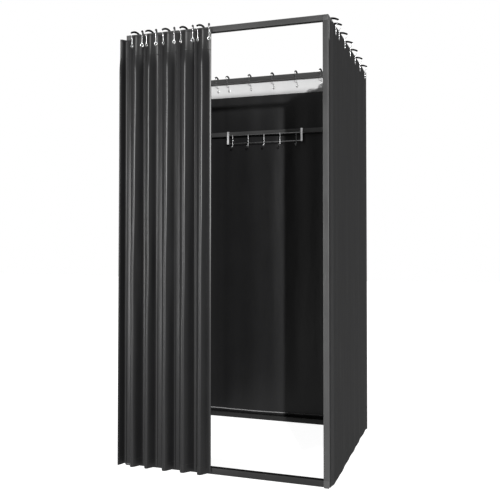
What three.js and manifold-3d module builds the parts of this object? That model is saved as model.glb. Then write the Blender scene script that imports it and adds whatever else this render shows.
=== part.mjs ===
// A portable fitting room: a cage of square tube on four feet, a curtain hung outside each of its
// four sides by sleeved wire hooks, a garment bar across the rear and a wire hook rack on that bar.
// Millimetres, +Z up, the doorway faces -Y. The origin is the bottom centre of the whole part's box.
import * as THREE from "three";
import { mergeVertices } from "three/addons/utils/BufferGeometryUtils.js";
import Module from "manifold-3d";

const wasm = await Module();
wasm.setup();

// Cage
const cageWidth = 950;
const cageDepth = 950;
const cageHeight = 1980;
const tubeSide = 25;
const tubeWall = 1.2;
const tubeCornerRadius = 2;
const bottomRailHeight = 28;
const footHeight = 5;
const footInset = 2;
const plugLength = 30;
const plugClearance = 0.35;
const seam = 0.3;

// Garment bar
const barDrop = 328;
const socketThickness = 3;
const socketHeight = 40;
const socketPlugLength = 25;

// Hook rack
const rackLength = 443;
const rackOffset = 92;
const rackWire = 4;
const rackWireDrop = 9.5;
const rackWireSpacing = 46.5;
const strapWidth = 17;
const strapThickness = 2;
const strapDrop = 59;
const strapLipDrop = 4;
const weldDepth = 1;
const rackHookCount = 5;
const rackHookPitch = 95.5;
const rackHookDrop = 84;
const rackHookReach = 22;
const rackHookLift = 8;
const rackBall = 7;

// Curtains
const clothThickness = 1.6;
const curtainOffset = 22;
const curtainTopDrop = 13;
const curtainFloorGap = 12;
const headerHeight = 95;
const foldFallHeight = 180;
const headerCrest = 6.5;
const bodyCrest = 25.5;
const valleyDepth = 8;
const valleyRun = 18;
const bodyValleyRun = 13;
const layerGap = 3;
const headerTuck = 40;
const bodyTuck = 38;
const tuckEdge = 5.5;
const sideCurtainMargin = 20;
const rearCurtainMargin = 12;

// Curtain hooks
const hookWire = 3;
const sleeveDiameter = 5.2;
const hookSeat = 0.35;
const hookTipDrop = 6;
const hookRise = 13;
const hookReach = 35;
const hookEndRise = 4.5;
const hookBend = 14;
const ringDiameter = 16;
const ringDrop = 43;
const rearRingDrop = 52;
const hookMargin = 3;
const frontHookTurn = THREE.MathUtils.degToRad(22);

// Where the hooks hang, as shares of half the rail's free length, from one post to the other
const frontHookShares = [-0.983, -0.8692, -0.8182, -0.712, -0.6302, -0.509, -0.4357, -0.306, -0.2518, -0.1307];
const sideHookShares = [-0.8395, -0.6716, -0.3581, -0.034, 0.2837, 0.6259, 1];
const rearHookShares = [-0.8661, -0.712, -0.4059, -0.0978, 0.2147, 0.5334, 0.8501];

// Where the front curtain's edges and its first fold end, as shares of half the cage's width
const frontEdgeShare = -1.045;
const frontFirstFallShare = -0.999;
const frontLeadEdgeShare = -0.095;

// Folds seen from above, as [along, out] shares of the gap between two rings and of the fold's depth
const headerFoldShares = [[0, 0], [0.17, 0.55], [0.4, 0.97], [0.6, 0.97], [0.83, 0.55], [1, 0]];
const bodyFoldShares = [[0, 0.12], [0.13, 0.58], [0.31, 0.97], [0.47, 1], [0.74, 0.57], [1, 0.04]];
const edgeFoldShares = [[0, 0.55], [0.14, 0.84], [0.34, 1], [0.6, 0.78], [0.82, 0.4], [1, 0.04]];

// Segment counts
const cornerSegments = 3;
const wireSides = 5;
const sleeveSides = 6;
const legSteps = 1;
const archSteps = 7;
const bendSteps = 4;
const ringSegments = 9;
const ballSegments = 6;
const lobePoints = 6;

const materials = {
  paint: new THREE.MeshStandardMaterial({ color: 0x2f2f31, roughness: 0.5, metalness: 0.4 }),
  plastic: new THREE.MeshStandardMaterial({ color: 0x2a2a2b, roughness: 0.6, metalness: 0 }),
  chrome: new THREE.MeshStandardMaterial({ color: 0xc9cacc, roughness: 0.15, metalness: 1 }),
  cloth: new THREE.MeshStandardMaterial({ color: 0x2b2b2d, roughness: 0.9, metalness: 0 }),
};

const halfTube = tubeSide / 2;
const barHeight = cageHeight - barDrop;
const topRailHeight = cageHeight - halfTube;
const bottomRailCentre = footHeight + bottomRailHeight / 2;
const plugGap = tubeWall + plugClearance;

const room = new THREE.Group();

// Each side is built as if it were the front: x runs along it and -y points out of the cage.
const sides = {
  front: { turn: 0, post: "front_left", halfSpan: cageWidth / 2, railLine: cageDepth / 2 - halfTube },
  right: { turn: 0.5, post: "front_right", halfSpan: cageDepth / 2, railLine: cageWidth / 2 - halfTube },
  rear: { turn: 1, post: "rear_right", halfSpan: cageWidth / 2, railLine: cageDepth / 2 - halfTube },
  left: { turn: 1.5, post: "rear_left", halfSpan: cageDepth / 2, railLine: cageWidth / 2 - halfTube },
};
for (const side of Object.values(sides)) {
  side.hookSpan = side.halfSpan - tubeSide - hookMargin;
  side.group = new THREE.Group();
  side.group.rotation.z = side.turn * Math.PI;
  room.add(side.group);
}

function addMesh(parent, name, geometry, material) {
  const mesh = new THREE.Mesh(geometry, material);
  mesh.name = name;
  parent.add(mesh);
  return mesh;
}

// Joins overlapping closed geometries into one.
function joined(geometries) {
  const solids = geometries.map((geometry) => {
    const plain = geometry.clone();
    plain.deleteAttribute("normal");
    plain.deleteAttribute("uv");
    const merged = mergeVertices(plain);
    return new wasm.Manifold(
      new wasm.Mesh({
        numProp: 3,
        vertProperties: merged.attributes.position.array,
        triVerts: new Uint32Array(merged.index.array),
      }),
    );
  });
  const whole = solids.reduce((sum, solid) => sum.add(solid)).getMesh();
  const geometry = new THREE.BufferGeometry();
  geometry.setAttribute("position", new THREE.BufferAttribute(whole.vertProperties, 3));
  geometry.setIndex(new THREE.BufferAttribute(whole.triVerts, 1));
  geometry.computeVertexNormals();
  return geometry;
}

function block(width, depth, height, x, y, z) {
  return new THREE.BoxGeometry(width, depth, height).translate(x, y, z);
}

// Tubes

function roundedRectangle(width, height, radius) {
  const x = width / 2 - radius;
  const y = height / 2 - radius;
  const outline = new THREE.Shape();
  outline.absarc(x, y, radius, 0, Math.PI / 2);
  outline.absarc(-x, y, radius, Math.PI / 2, Math.PI);
  outline.absarc(-x, -y, radius, Math.PI, 1.5 * Math.PI);
  outline.absarc(x, -y, radius, 1.5 * Math.PI, 2 * Math.PI);
  outline.closePath();
  return outline;
}

// A hollow tube along Z, centred on the origin.
function squareTube(width, height, length) {
  const section = roundedRectangle(width, height, tubeCornerRadius);
  const innerRadius = tubeCornerRadius - tubeWall;
  section.holes.push(roundedRectangle(width - 2 * tubeWall, height - 2 * tubeWall, innerRadius));
  const settings = { depth: length, bevelEnabled: false, curveSegments: cornerSegments };
  return new THREE.ExtrudeGeometry(section, settings).translate(0, 0, -length / 2);
}

// A hollow tube along X, centred on the origin.
function railTube(height, length) {
  return squareTube(height, tubeSide, length).rotateY(Math.PI / 2);
}

// Corner blocks: a cube with a plug into each of the three tubes that meet there.
// The plugs point along +x, along +y and up or down, and the lower blocks end in a foot.
function cornerBlock(height, upwards) {
  const reach = halfTube + plugLength;
  const across = tubeSide - 2 * plugGap;
  const along = height - 2 * plugGap;
  const postReach = height / 2 + plugLength;
  const pieces = [
    block(tubeSide, tubeSide, height, 0, 0, 0),
    block(reach, across, along, reach / 2, 0, 0),
    block(across, reach, along, 0, reach / 2, 0),
    block(across, across, postReach, 0, 0, (upwards * postReach) / 2),
  ];
  if (upwards > 0) {
    const footSide = tubeSide - 2 * footInset;
    const footLength = footHeight + height / 2;
    pieces.push(block(footSide, footSide, footLength, 0, 0, -footLength / 2));
  }
  return joined(pieces);
}

const topCorner = cornerBlock(tubeSide, -1);
const bottomCorner = cornerBlock(bottomRailHeight, 1);
const postBottom = footHeight + bottomRailHeight + seam;
const postTop = cageHeight - tubeSide - seam;
const postTube = squareTube(tubeSide, tubeSide, postTop - postBottom);

for (const [name, side] of Object.entries(sides)) {
  const corner = side.halfSpan - halfTube;
  const railLength = 2 * (side.halfSpan - tubeSide - seam);
  const topRail = addMesh(side.group, "top_rail_" + name, railTube(tubeSide, railLength), materials.paint);
  topRail.position.set(0, -side.railLine, topRailHeight);
  const bottomTube = railTube(bottomRailHeight, railLength);
  const bottomRail = addMesh(side.group, "bottom_rail_" + name, bottomTube, materials.paint);
  bottomRail.position.set(0, -side.railLine, bottomRailCentre);
  const post = addMesh(side.group, "post_" + side.post, postTube, materials.paint);
  post.position.set(-corner, -side.railLine, (postTop + postBottom) / 2);
  const upper = addMesh(side.group, "top_corner_" + side.post, topCorner, materials.plastic);
  upper.position.set(-corner, -side.railLine, topRailHeight);
  const lower = addMesh(side.group, "bottom_corner_" + side.post, bottomCorner, materials.plastic);
  lower.position.set(-corner, -side.railLine, bottomRailCentre);
}

// Garment bar and its two sockets, between the rear posts

const postFace = sides.rear.halfSpan - tubeSide;
const barLength = 2 * (postFace - socketThickness - 2 * seam);
const bar = addMesh(sides.rear.group, "garment_bar", railTube(tubeSide, barLength), materials.paint);
bar.position.set(0, -sides.rear.railLine, barHeight);

// A plate against the post with a plug that points along +x into the bar.
function barSocket() {
  const plugSide = tubeSide - 2 * plugGap;
  const reach = socketThickness + socketPlugLength;
  return joined([
    block(socketThickness, tubeSide, socketHeight, socketThickness / 2, 0, 0),
    block(reach, plugSide, plugSide, reach / 2, 0, 0),
  ]);
}

for (const [name, facing] of [["right", 0], ["left", 1]]) {
  const socket = addMesh(sides.rear.group, "bar_socket_" + name, barSocket(), materials.plastic);
  const end = postFace - seam;
  socket.position.set(facing ? end : -end, -sides.rear.railLine, barHeight);
  socket.rotation.z = facing * Math.PI;
}

// Wires

function polygon(radius, sideCount) {
  const points = [];
  for (let i = 0; i < sideCount; i++) {
    const angle = (2 * Math.PI * i) / sideCount;
    points.push(new THREE.Vector2(radius * Math.cos(angle), radius * Math.sin(angle)));
  }
  return new THREE.Shape(points);
}

// A round bar along a curve.
function wireAlong(curve, diameter, sideCount, steps) {
  const section = polygon(diameter / 2, sideCount);
  return new THREE.ExtrudeGeometry(section, { steps, bevelEnabled: false, extrudePath: curve });
}

// A curve through points given as [out, up], in a plane where "out" is -y.
function planeCurve(...points) {
  const [a, b, c, d] = points.map(([out, up]) => new THREE.Vector3(0, -out, up));
  return points.length === 2 ? new THREE.LineCurve3(a, b) : new THREE.CubicBezierCurve3(a, b, c, d);
}

// One curve made of several, as a polyline whose points the steps hit exactly.
function chain(...pieces) {
  const points = [];
  for (const [curve, steps] of pieces) {
    const start = points.length ? 1 : 0;
    for (let i = start; i <= steps; i++) points.push(curve.getPoint(i / steps));
  }
  const path = new THREE.CurvePath();
  for (let i = 1; i < points.length; i++) path.add(new THREE.LineCurve3(points[i - 1], points[i]));
  path.getSpacedPoints = () => points;
  path.getPointAt = (share) => points[Math.round(share * (points.length - 1))];
  path.getTangentAt = (share, target = new THREE.Vector3()) => {
    const i = Math.round(share * (points.length - 1));
    const before = points[Math.max(i - 1, 0)];
    const after = points[Math.min(i + 1, points.length - 1)];
    return target.subVectors(after, before).normalize();
  };
  return { path, steps: points.length - 1 };
}

// Curtain hooks: a sleeved arch over the rail, a wire that bends back to the cloth and a ring on it.
// A hook is built about the rail's centre, its stem on the -y side, "turn" away from square on.

const ringRadius = (ringDiameter - hookWire) / 2;
const ringStandoff = clothThickness / 2 + hookSeat + hookWire / 2;

function hookSleeve(turn) {
  const leg = (halfTube + sleeveDiameter / 2 + hookSeat) / Math.cos(turn);
  const crown = halfTube + hookRise;
  const end = [hookReach, halfTube + hookEndRise];
  const inner = planeCurve([-leg, -hookTipDrop], [-leg, halfTube]);
  const arch = planeCurve([-leg, halfTube], [-leg, crown], [leg - hookRise / 2, crown + hookRise / 2], end);
  const { path, steps } = chain([inner, legSteps], [arch, archSteps]);
  return wireAlong(path, sleeveDiameter, sleeveSides, steps);
}

function hookRing(out, drop) {
  return new THREE.TorusGeometry(ringRadius, hookWire / 2, wireSides, ringSegments)
    .rotateX(Math.PI / 2)
    .translate(0, -out, -drop);
}

// A hook whose ring hangs outside the rail, on the same side as its stem.
function outerHook(turn) {
  const out = (curtainOffset + ringStandoff) / Math.cos(turn);
  const end = [hookReach, halfTube + hookEndRise];
  const bend = planeCurve(end, [hookReach + hookWire, 0], [out, hookWire], [out, -hookBend]);
  const stem = planeCurve([out, -hookBend], [out, ringRadius - ringDrop]);
  const { path, steps } = chain([bend, bendSteps], [stem, 1]);
  return joined([hookSleeve(turn), wireAlong(path, hookWire, wireSides, steps), hookRing(out, ringDrop)]);
}

// A hook whose stem hangs inside the rail and passes under it to a ring on the cloth outside.
function rearHook() {
  const out = ringStandoff - curtainOffset;
  const near = halfTube + hookWire + hookWire / 2;
  const end = [hookReach, halfTube + hookEndRise];
  const bend = planeCurve(end, [hookReach + hookWire, 0], [near, 0], [near, -hookBend]);
  const belowRail = -halfTube - hookBend;
  const under = planeCurve([near, -hookBend], [near, belowRail], [out, belowRail], [out, -halfTube - 2 * hookBend]);
  const stem = planeCurve([out, -halfTube - 2 * hookBend], [out, ringRadius - rearRingDrop]);
  const { path, steps } = chain([bend, bendSteps], [under, bendSteps], [stem, 1]);
  return joined([hookSleeve(0), wireAlong(path, hookWire, wireSides, steps), hookRing(out, rearRingDrop)]);
}

const frontHook = outerHook(frontHookTurn);
const sideHook = outerHook(0);
const rearwardHook = rearHook();

// The front hooks turn left and right by turns, as the folds that they hold do.
frontHookShares.forEach((share, i) => {
  const turn = i % 2 ? frontHookTurn : -frontHookTurn;
  const name = "front_hook_" + String(i + 1).padStart(2, "0");
  const hook = addMesh(sides.front.group, name, frontHook, materials.chrome);
  const ringX = share * sides.front.hookSpan;
  const railX = ringX - (curtainOffset + ringStandoff) * Math.tan(turn);
  hook.position.set(railX, -sides.front.railLine, topRailHeight);
  hook.rotation.z = turn;
});

function hangSideHooks(name, shares, direction) {
  const side = sides[name];
  shares.forEach((share, i) => {
    const hook = addMesh(side.group, name + "_hook_" + (i + 1), sideHook, materials.chrome);
    hook.position.set(direction * share * side.hookSpan, -side.railLine, topRailHeight);
  });
}
hangSideHooks("right", sideHookShares, 1);
hangSideHooks("left", sideHookShares, -1);

rearHookShares.forEach((share, i) => {
  const hook = addMesh(sides.rear.group, "rear_hook_" + (i + 1), rearwardHook, materials.chrome);
  hook.position.set(-share * sides.rear.hookSpan, -sides.rear.railLine, topRailHeight);
  hook.rotation.z = Math.PI;
});

// Curtains

// A closed shell of cloth from rows of points: each row is { z, points }, lowest first.
function clothShell(rows) {
  const count = rows[0].points.length;
  const positions = [];
  for (const facing of [1, -1]) {
    for (const { z, points } of rows) {
      points.forEach((point, i) => {
        const before = points[Math.max(i - 1, 0)];
        const after = points[Math.min(i + 1, count - 1)];
        const along = new THREE.Vector2().subVectors(after, before).normalize();
        const shift = (facing * clothThickness) / 2;
        positions.push(point.x + along.y * shift, point.y - along.x * shift, z);
      });
    }
  }
  const layer = rows.length * count;
  const at = (side, row, column) => side * layer + row * count + column;
  const faces = [];
  const quad = (a, b, c, d) => faces.push(a, b, c, a, c, d);
  for (let row = 0; row < rows.length - 1; row++) {
    for (let column = 0; column < count - 1; column++) {
      const next = column + 1;
      quad(at(0, row, column), at(0, row, next), at(0, row + 1, next), at(0, row + 1, column));
      quad(at(1, row, column), at(1, row + 1, column), at(1, row + 1, next), at(1, row, next));
    }
    quad(at(1, row, 0), at(0, row, 0), at(0, row + 1, 0), at(1, row + 1, 0));
    const last = count - 1;
    quad(at(0, row, last), at(1, row, last), at(1, row + 1, last), at(0, row + 1, last));
  }
  const top = rows.length - 1;
  for (let column = 0; column < count - 1; column++) {
    const next = column + 1;
    quad(at(1, 0, column), at(1, 0, next), at(0, 0, next), at(0, 0, column));
    quad(at(0, top, column), at(0, top, next), at(1, top, next), at(1, top, column));
  }
  const geometry = new THREE.BufferGeometry();
  geometry.setAttribute("position", new THREE.Float32BufferAttribute(positions, 3));
  geometry.setIndex(faces);
  geometry.computeVertexNormals();
  return geometry;
}

const curtainTop = cageHeight - curtainTopDrop;
const curtainBottom = curtainFloorGap;

// The front curtain is gathered to the left. Seen from above, a fold swells outwards from each odd
// hook to the next even one, and the cloth then runs along the rail, tucks in behind the next fold
// and comes back to that fold's edge. Near the top the hooks hold the folds flat.
const frontClothLine = -(sides.front.railLine + curtainOffset);
const frontAnchors = frontHookShares.map((share, i) => {
  const turn = i % 2 ? frontHookTurn : -frontHookTurn;
  return share * sides.front.hookSpan - ringStandoff * Math.sin(turn);
});

function foldPoints(shares, start, end, depth) {
  return shares.map(([along, out]) => [start + along * (end - start), out * depth]);
}

// From the foot of one fold to just before the ring where the next one starts.
function tuckPoints(foot, next, run, tuck) {
  const inner = next + tuck;
  const edge = next - tuckEdge;
  const halfGap = layerGap / 2;
  return [
    [foot + run / 2, -valleyDepth / 2],
    [foot + run, -valleyDepth],
    [inner - halfGap, -valleyDepth],
    [inner, halfGap - valleyDepth],
    [inner - halfGap, layerGap - valleyDepth],
    [edge + halfGap, layerGap - valleyDepth],
    [edge, layerGap + halfGap - valleyDepth],
    [edge + halfGap, 2 * layerGap - valleyDepth],
  ];
}

function frontRow(z, shares, crest, run, tuck) {
  const edge = frontEdgeShare * sides.front.halfSpan;
  let foot = frontFirstFallShare * sides.front.halfSpan;
  const outline = foldPoints(edgeFoldShares, edge, foot, crest);
  for (let i = 0; i < frontAnchors.length; i += 2) {
    outline.push(...tuckPoints(foot, frontAnchors[i], run, tuck));
    foot = frontAnchors[i + 1];
    outline.push(...foldPoints(shares, frontAnchors[i], foot, crest));
  }
  const lead = frontLeadEdgeShare * sides.front.halfSpan;
  outline.push([lead, -(lead - foot) * Math.tan(frontHookTurn)]);
  return { z, points: outline.map(([x, out]) => new THREE.Vector2(x, frontClothLine - out)) };
}

const headerBottom = curtainTop - headerHeight;
const frontRows = [
  frontRow(curtainBottom, bodyFoldShares, bodyCrest, bodyValleyRun, bodyTuck),
  frontRow(headerBottom - foldFallHeight, bodyFoldShares, bodyCrest, bodyValleyRun, bodyTuck),
  frontRow(headerBottom, headerFoldShares, headerCrest, valleyRun, headerTuck),
  frontRow(curtainTop, headerFoldShares, headerCrest, valleyRun, headerTuck),
];
addMesh(sides.front.group, "curtain_front", clothShell(frontRows), materials.cloth);

// The other curtains are drawn out along their rails and swell a little between their hooks.
const swellShare = 0.03;

function spreadCurtain(name, hooks, startEdge, endEdge) {
  const side = sides[name];
  const line = -(side.railLine + curtainOffset);
  const points = [new THREE.Vector2(startEdge, line)];
  for (let gap = 0; gap < hooks.length - 1; gap++) {
    const width = hooks[gap + 1] - hooks[gap];
    for (let i = 0; i < lobePoints; i++) {
      const share = i / lobePoints;
      const out = swellShare * width * Math.sin(Math.PI * share) ** 2;
      points.push(new THREE.Vector2(hooks[gap] + share * width, line - out));
    }
  }
  points.push(new THREE.Vector2(hooks[hooks.length - 1], line));
  points.push(new THREE.Vector2(endEdge, line));
  const rows = [curtainBottom, curtainTop].map((z) => ({ z, points }));
  addMesh(side.group, "curtain_" + name, clothShell(rows), materials.cloth);
}

const sideSpan = sides.right.halfSpan;
const rightHooks = sideHookShares.map((share) => share * sides.right.hookSpan);
const leftHooks = sideHookShares.map((share) => -share * sides.left.hookSpan).reverse();
const rearSpan = sides.rear.halfSpan;
const rearHooks = rearHookShares.map((share) => -share * sides.rear.hookSpan).reverse();
spreadCurtain("right", rightHooks, sideCurtainMargin - sideSpan, sideSpan);
spreadCurtain("left", leftHooks, -sideSpan, sideSpan - sideCurtainMargin);
spreadCurtain("rear", rearHooks, rearCurtainMargin - rearSpan, rearSpan - rearCurtainMargin);

// Hook rack: two straps hooked over the bar, two wires across them and a row of wire hooks.
// It is built about the bar's centre and faces +y, into the cage.

const strapInside = halfTube + seam;
const strapOutside = strapInside + strapThickness;

function rackStrap(x) {
  const profile = new THREE.Shape();
  profile.moveTo(strapOutside, -strapDrop);
  profile.lineTo(strapOutside, strapOutside);
  profile.lineTo(-strapOutside, strapOutside);
  profile.lineTo(-strapOutside, -strapLipDrop);
  profile.lineTo(-strapInside, -strapLipDrop);
  profile.lineTo(-strapInside, strapInside);
  profile.lineTo(strapInside, strapInside);
  profile.lineTo(strapInside, -strapDrop);
  profile.closePath();
  const strap = new THREE.ExtrudeGeometry(profile, { depth: strapWidth, bevelEnabled: false });
  return strap
    .rotateX(Math.PI / 2)
    .rotateZ(Math.PI / 2)
    .translate(x - strapWidth / 2, 0, 0);
}

const rackWireY = strapOutside + rackWire / 2 - weldDepth;
const rackHookY = rackWireY + rackWire - weldDepth;

function rackCrossWire(drop) {
  const length = rackLength + strapWidth;
  return new THREE.CylinderGeometry(rackWire / 2, rackWire / 2, length, sleeveSides)
    .rotateZ(Math.PI / 2)
    .translate(0, rackWireY, -drop);
}

function rackHook(x) {
  const top = rackWire / 2 - rackWireDrop;
  const bendTop = rackHookLift + rackWire - rackHookDrop;
  const tip = rackHookY + rackHookReach;
  const bottom = -rackHookDrop - rackWire;
  const stem = planeCurve([-rackHookY, top], [-rackHookY, bendTop]);
  const foot = planeCurve([-rackHookY, bendTop], [-rackHookY, bottom], [-tip, bottom], [-tip, rackHookLift - rackHookDrop]);
  const { path, steps } = chain([stem, 1], [foot, archSteps]);
  const ball = new THREE.SphereGeometry(rackBall / 2, ballSegments, ballSegments);
  ball.translate(0, tip, rackHookLift - rackHookDrop);
  return [wireAlong(path, rackWire, sleeveSides, steps), ball].map((piece) => piece.translate(x, 0, 0));
}

const rackPieces = [-rackLength / 2, rackLength / 2].map(rackStrap);
rackPieces.push(rackCrossWire(rackWireDrop), rackCrossWire(rackWireDrop + rackWireSpacing));
for (let i = 0; i < rackHookCount; i++) {
  const x = (i - (rackHookCount - 1) / 2) * rackHookPitch;
  rackPieces.push(...rackHook(x));
}
const rack = addMesh(sides.rear.group, "hook_rack", joined(rackPieces), materials.chrome);
rack.position.set(rackOffset, -sides.rear.railLine, barHeight);

// The origin is the bottom centre of the box round everything.
const box = new THREE.Box3().setFromObject(room, true);
room.position.set(-(box.min.x + box.max.x) / 2, -(box.min.y + box.max.y) / 2, 0);

export default room;
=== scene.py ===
"""Looks of the portable fitting room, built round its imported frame. Metres, +Z up, doorway to -Y."""
import math

import bmesh
import bpy
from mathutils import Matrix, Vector


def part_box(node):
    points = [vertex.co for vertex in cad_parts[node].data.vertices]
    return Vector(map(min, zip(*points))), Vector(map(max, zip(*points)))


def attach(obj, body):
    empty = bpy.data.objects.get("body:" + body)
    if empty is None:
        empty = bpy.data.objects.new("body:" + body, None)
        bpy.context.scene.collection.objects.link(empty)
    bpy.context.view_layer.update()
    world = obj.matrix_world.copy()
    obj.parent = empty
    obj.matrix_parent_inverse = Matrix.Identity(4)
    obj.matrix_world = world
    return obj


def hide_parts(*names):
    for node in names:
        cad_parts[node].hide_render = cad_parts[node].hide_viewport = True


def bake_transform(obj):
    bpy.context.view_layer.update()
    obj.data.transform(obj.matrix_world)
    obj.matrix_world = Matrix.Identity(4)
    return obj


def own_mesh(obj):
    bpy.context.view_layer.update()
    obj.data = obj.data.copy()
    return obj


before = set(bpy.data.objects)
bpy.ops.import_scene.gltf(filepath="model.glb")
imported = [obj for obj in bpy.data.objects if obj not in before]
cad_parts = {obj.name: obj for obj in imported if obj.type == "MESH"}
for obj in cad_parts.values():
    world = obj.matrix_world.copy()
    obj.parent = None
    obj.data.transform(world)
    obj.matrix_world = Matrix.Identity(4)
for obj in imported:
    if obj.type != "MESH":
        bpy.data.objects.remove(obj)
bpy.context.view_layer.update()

# Cage, as in the source
TUBE = 0.025
HALF_TUBE = TUBE / 2
RAIL_HEIGHT = 0.028
FOOT = 0.005
WALL_AND_PLAY = 0.00155
HOOK_MARGIN = 0.003

# Cloth. Its plane lies CLOTH_OFFSET out from the rails' middle, and it is thinner here than in the source.
CLOTH_OFFSET = 0.022
SOURCE_CLOTH_HALF = 0.0008
CLOTH = 0.0009
TAPE_THICKNESS = 0.0007

# Curtain hooks. Drops are from the rail's middle to the ring's, and STANDOFF from the cloth's to the wire's.
HOOK_WIRE = 0.003
SLEEVE = 0.0052
SLEEVE_ARCH = 0.0092
HOOK_SEAT = 0.00035
RING_RADIUS = 0.0065
RING_DROP = 0.043
REAR_RING_DROP = 0.052
HOOK_TURN = math.radians(22)
STANDOFF = SOURCE_CLOTH_HALF + HOOK_SEAT + HOOK_WIRE / 2

# Where the hooks hang, as shares of SPAN from a side's middle
FRONT_SHARES = [-0.983, -0.8692, -0.8182, -0.712, -0.6302, -0.509, -0.4357, -0.306, -0.2518, -0.1307]
SIDE_SHARES = [-0.8395, -0.6716, -0.3581, -0.034, 0.2837, 0.6259, 1]
REAR_SHARES = [-0.8661, -0.712, -0.4059, -0.0978, 0.2147, 0.5334, 0.8501]

# Places, read from the frame
low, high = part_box("post_front_left")[0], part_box("post_rear_right")[1]
CENTRE = Vector(((low[0] + high[0]) / 2, (low[1] + high[1]) / 2, 0))
HALF = (high[0] - low[0]) / 2
RAIL = HALF - HALF_TUBE
SPAN = HALF - TUBE - HOOK_MARGIN
RAIL_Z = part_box("top_rail_front")[1][2] - HALF_TUBE
CURTAIN_LOW, CURTAIN_TOP = (corner[2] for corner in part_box("curtain_front"))
BAR_Z = sum(corner[2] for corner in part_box("garment_bar")) / 2
TURNS = {"front": 0, "right": math.pi / 2, "rear": math.pi, "left": -math.pi / 2}


def world_point(side, x, y, z):
    """A point of a side, whose x runs along it and whose -y points out of the cage."""
    c, s = math.cos(TURNS[side]), math.sin(TURNS[side])
    return Vector((CENTRE.x + c * x - s * y, CENTRE.y + s * x + c * y, z))


def smooth_share(value, start, end):
    """0 before start, 1 past end, and a smooth rise between them."""
    t = min(max((value - start) / (end - start), 0), 1)
    return t * t * (3 - 2 * t)


# Camera, at the photograph's viewing angle

CAMERA_PLACE = (1.043, -3.228, 1.027)
CAMERA_TILT = math.radians(1.10)
CAMERA_TURN = math.radians(18.37)

camera = bpy.data.objects.new("camera", bpy.data.cameras.new("camera"))
bpy.context.scene.collection.objects.link(camera)
camera.location = (CENTRE.x + CAMERA_PLACE[0], CENTRE.y + CAMERA_PLACE[1], CAMERA_PLACE[2])
camera.rotation_euler = (math.pi / 2 + CAMERA_TILT, 0, CAMERA_TURN)
camera.data.sensor_width = 36
camera.data.lens = 48.23
camera.data.shift_y = -0.0436
camera.data.clip_end = 60
bpy.context.scene.camera = camera


# Materials

class Nodes:
    """Short calls for building the node tree of a new material or world."""

    def __init__(self, owner):
        owner.use_nodes = True
        self.owner = owner
        self.tree = owner.node_tree
        self.shader = self.tree.nodes.get("Principled BSDF")

    def add(self, kind, inputs=(), **settings):
        node = self.tree.nodes.new(kind)
        for key, value in settings.items():
            setattr(node, key, value)
        for key, value in dict(inputs).items():
            self.put(node.inputs[key], value)
        return node

    def put(self, socket, value):
        if isinstance(value, bpy.types.NodeSocket):
            self.tree.links.new(value, socket)
        else:
            socket.default_value = value

    def set(self, **values):
        """Sockets of the shader, by their names with _ for each space."""
        for key, value in values.items():
            self.put(self.shader.inputs[key.replace("_", " ")], value)

    def place(self):
        return self.add("ShaderNodeTexCoord").outputs["Object"]

    def math(self, operation, a, b=0.0):
        return self.add("ShaderNodeMath", {0: a, 1: b}, operation=operation).outputs[0]

    def mix(self, share, a, b):
        node = self.add("ShaderNodeMix", data_type="RGBA")
        self.put(node.inputs["Factor"], share)
        self.put(node.inputs["A"], a)
        self.put(node.inputs["B"], b)
        return node.outputs["Result"]

    def noise(self, vector, scale=1.0, detail=3.0, roughness=0.55, stretch=None):
        if stretch:
            vector = self.add("ShaderNodeMapping", {"Vector": vector, "Scale": stretch}).outputs["Vector"]
        inputs = {"Vector": vector, "Scale": scale, "Detail": detail, "Roughness": roughness}
        return self.add("ShaderNodeTexNoise", inputs).outputs["Fac"]

    def band(self, value, start_and_end, low_value=0.0, high_value=1.0):
        """low_value up to the start, high_value from the end on, and a straight rise between them."""
        start, end = start_and_end
        inputs = {"Value": value, "From Min": start, "From Max": end,
                  "To Min": low_value, "To Max": high_value}
        return self.add("ShaderNodeMapRange", inputs).outputs["Result"]

    def bump(self, height, strength, distance, normal=None):
        inputs = {"Height": height, "Strength": strength, "Distance": distance}
        if normal is not None:
            inputs["Normal"] = normal
        return self.add("ShaderNodeBump", inputs).outputs["Normal"]

    def seen(self, mirror_share):
        """1 to the camera, mirror_share to mirrored and transmitted rays, and 0 to the rest."""
        path = self.add("ShaderNodeLightPath").outputs
        mirrored = self.math("MAXIMUM", path["Is Glossy Ray"], path["Is Transmission Ray"])
        return self.math("MAXIMUM", path["Is Camera Ray"], self.math("MULTIPLY", mirrored, mirror_share))


def new_material(name):
    return Nodes(bpy.data.materials.new(name))


def grey(level):
    return (level, level, level, 1)


# Pairs are the start and end of a band. Most of a noise's values lie in MOST.
MOST = (0.3, 0.7)
TONE_BAND = (0.28, 0.72)
GRAZING = (0.45, 0.85)
MATT = 0.95
STITCH = 0.0042
STITCH_SHARE = 0.72
THREAD_EDGE = (0.0004, 0.0009)
GROOVE_EDGE = (0.0006, 0.0030)
GROOVE_DEPTH = 0.4
THREAD_LIGHT = 1.7
THREAD_SHOWS = 0.5
WORN = grey(0.09)


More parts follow.
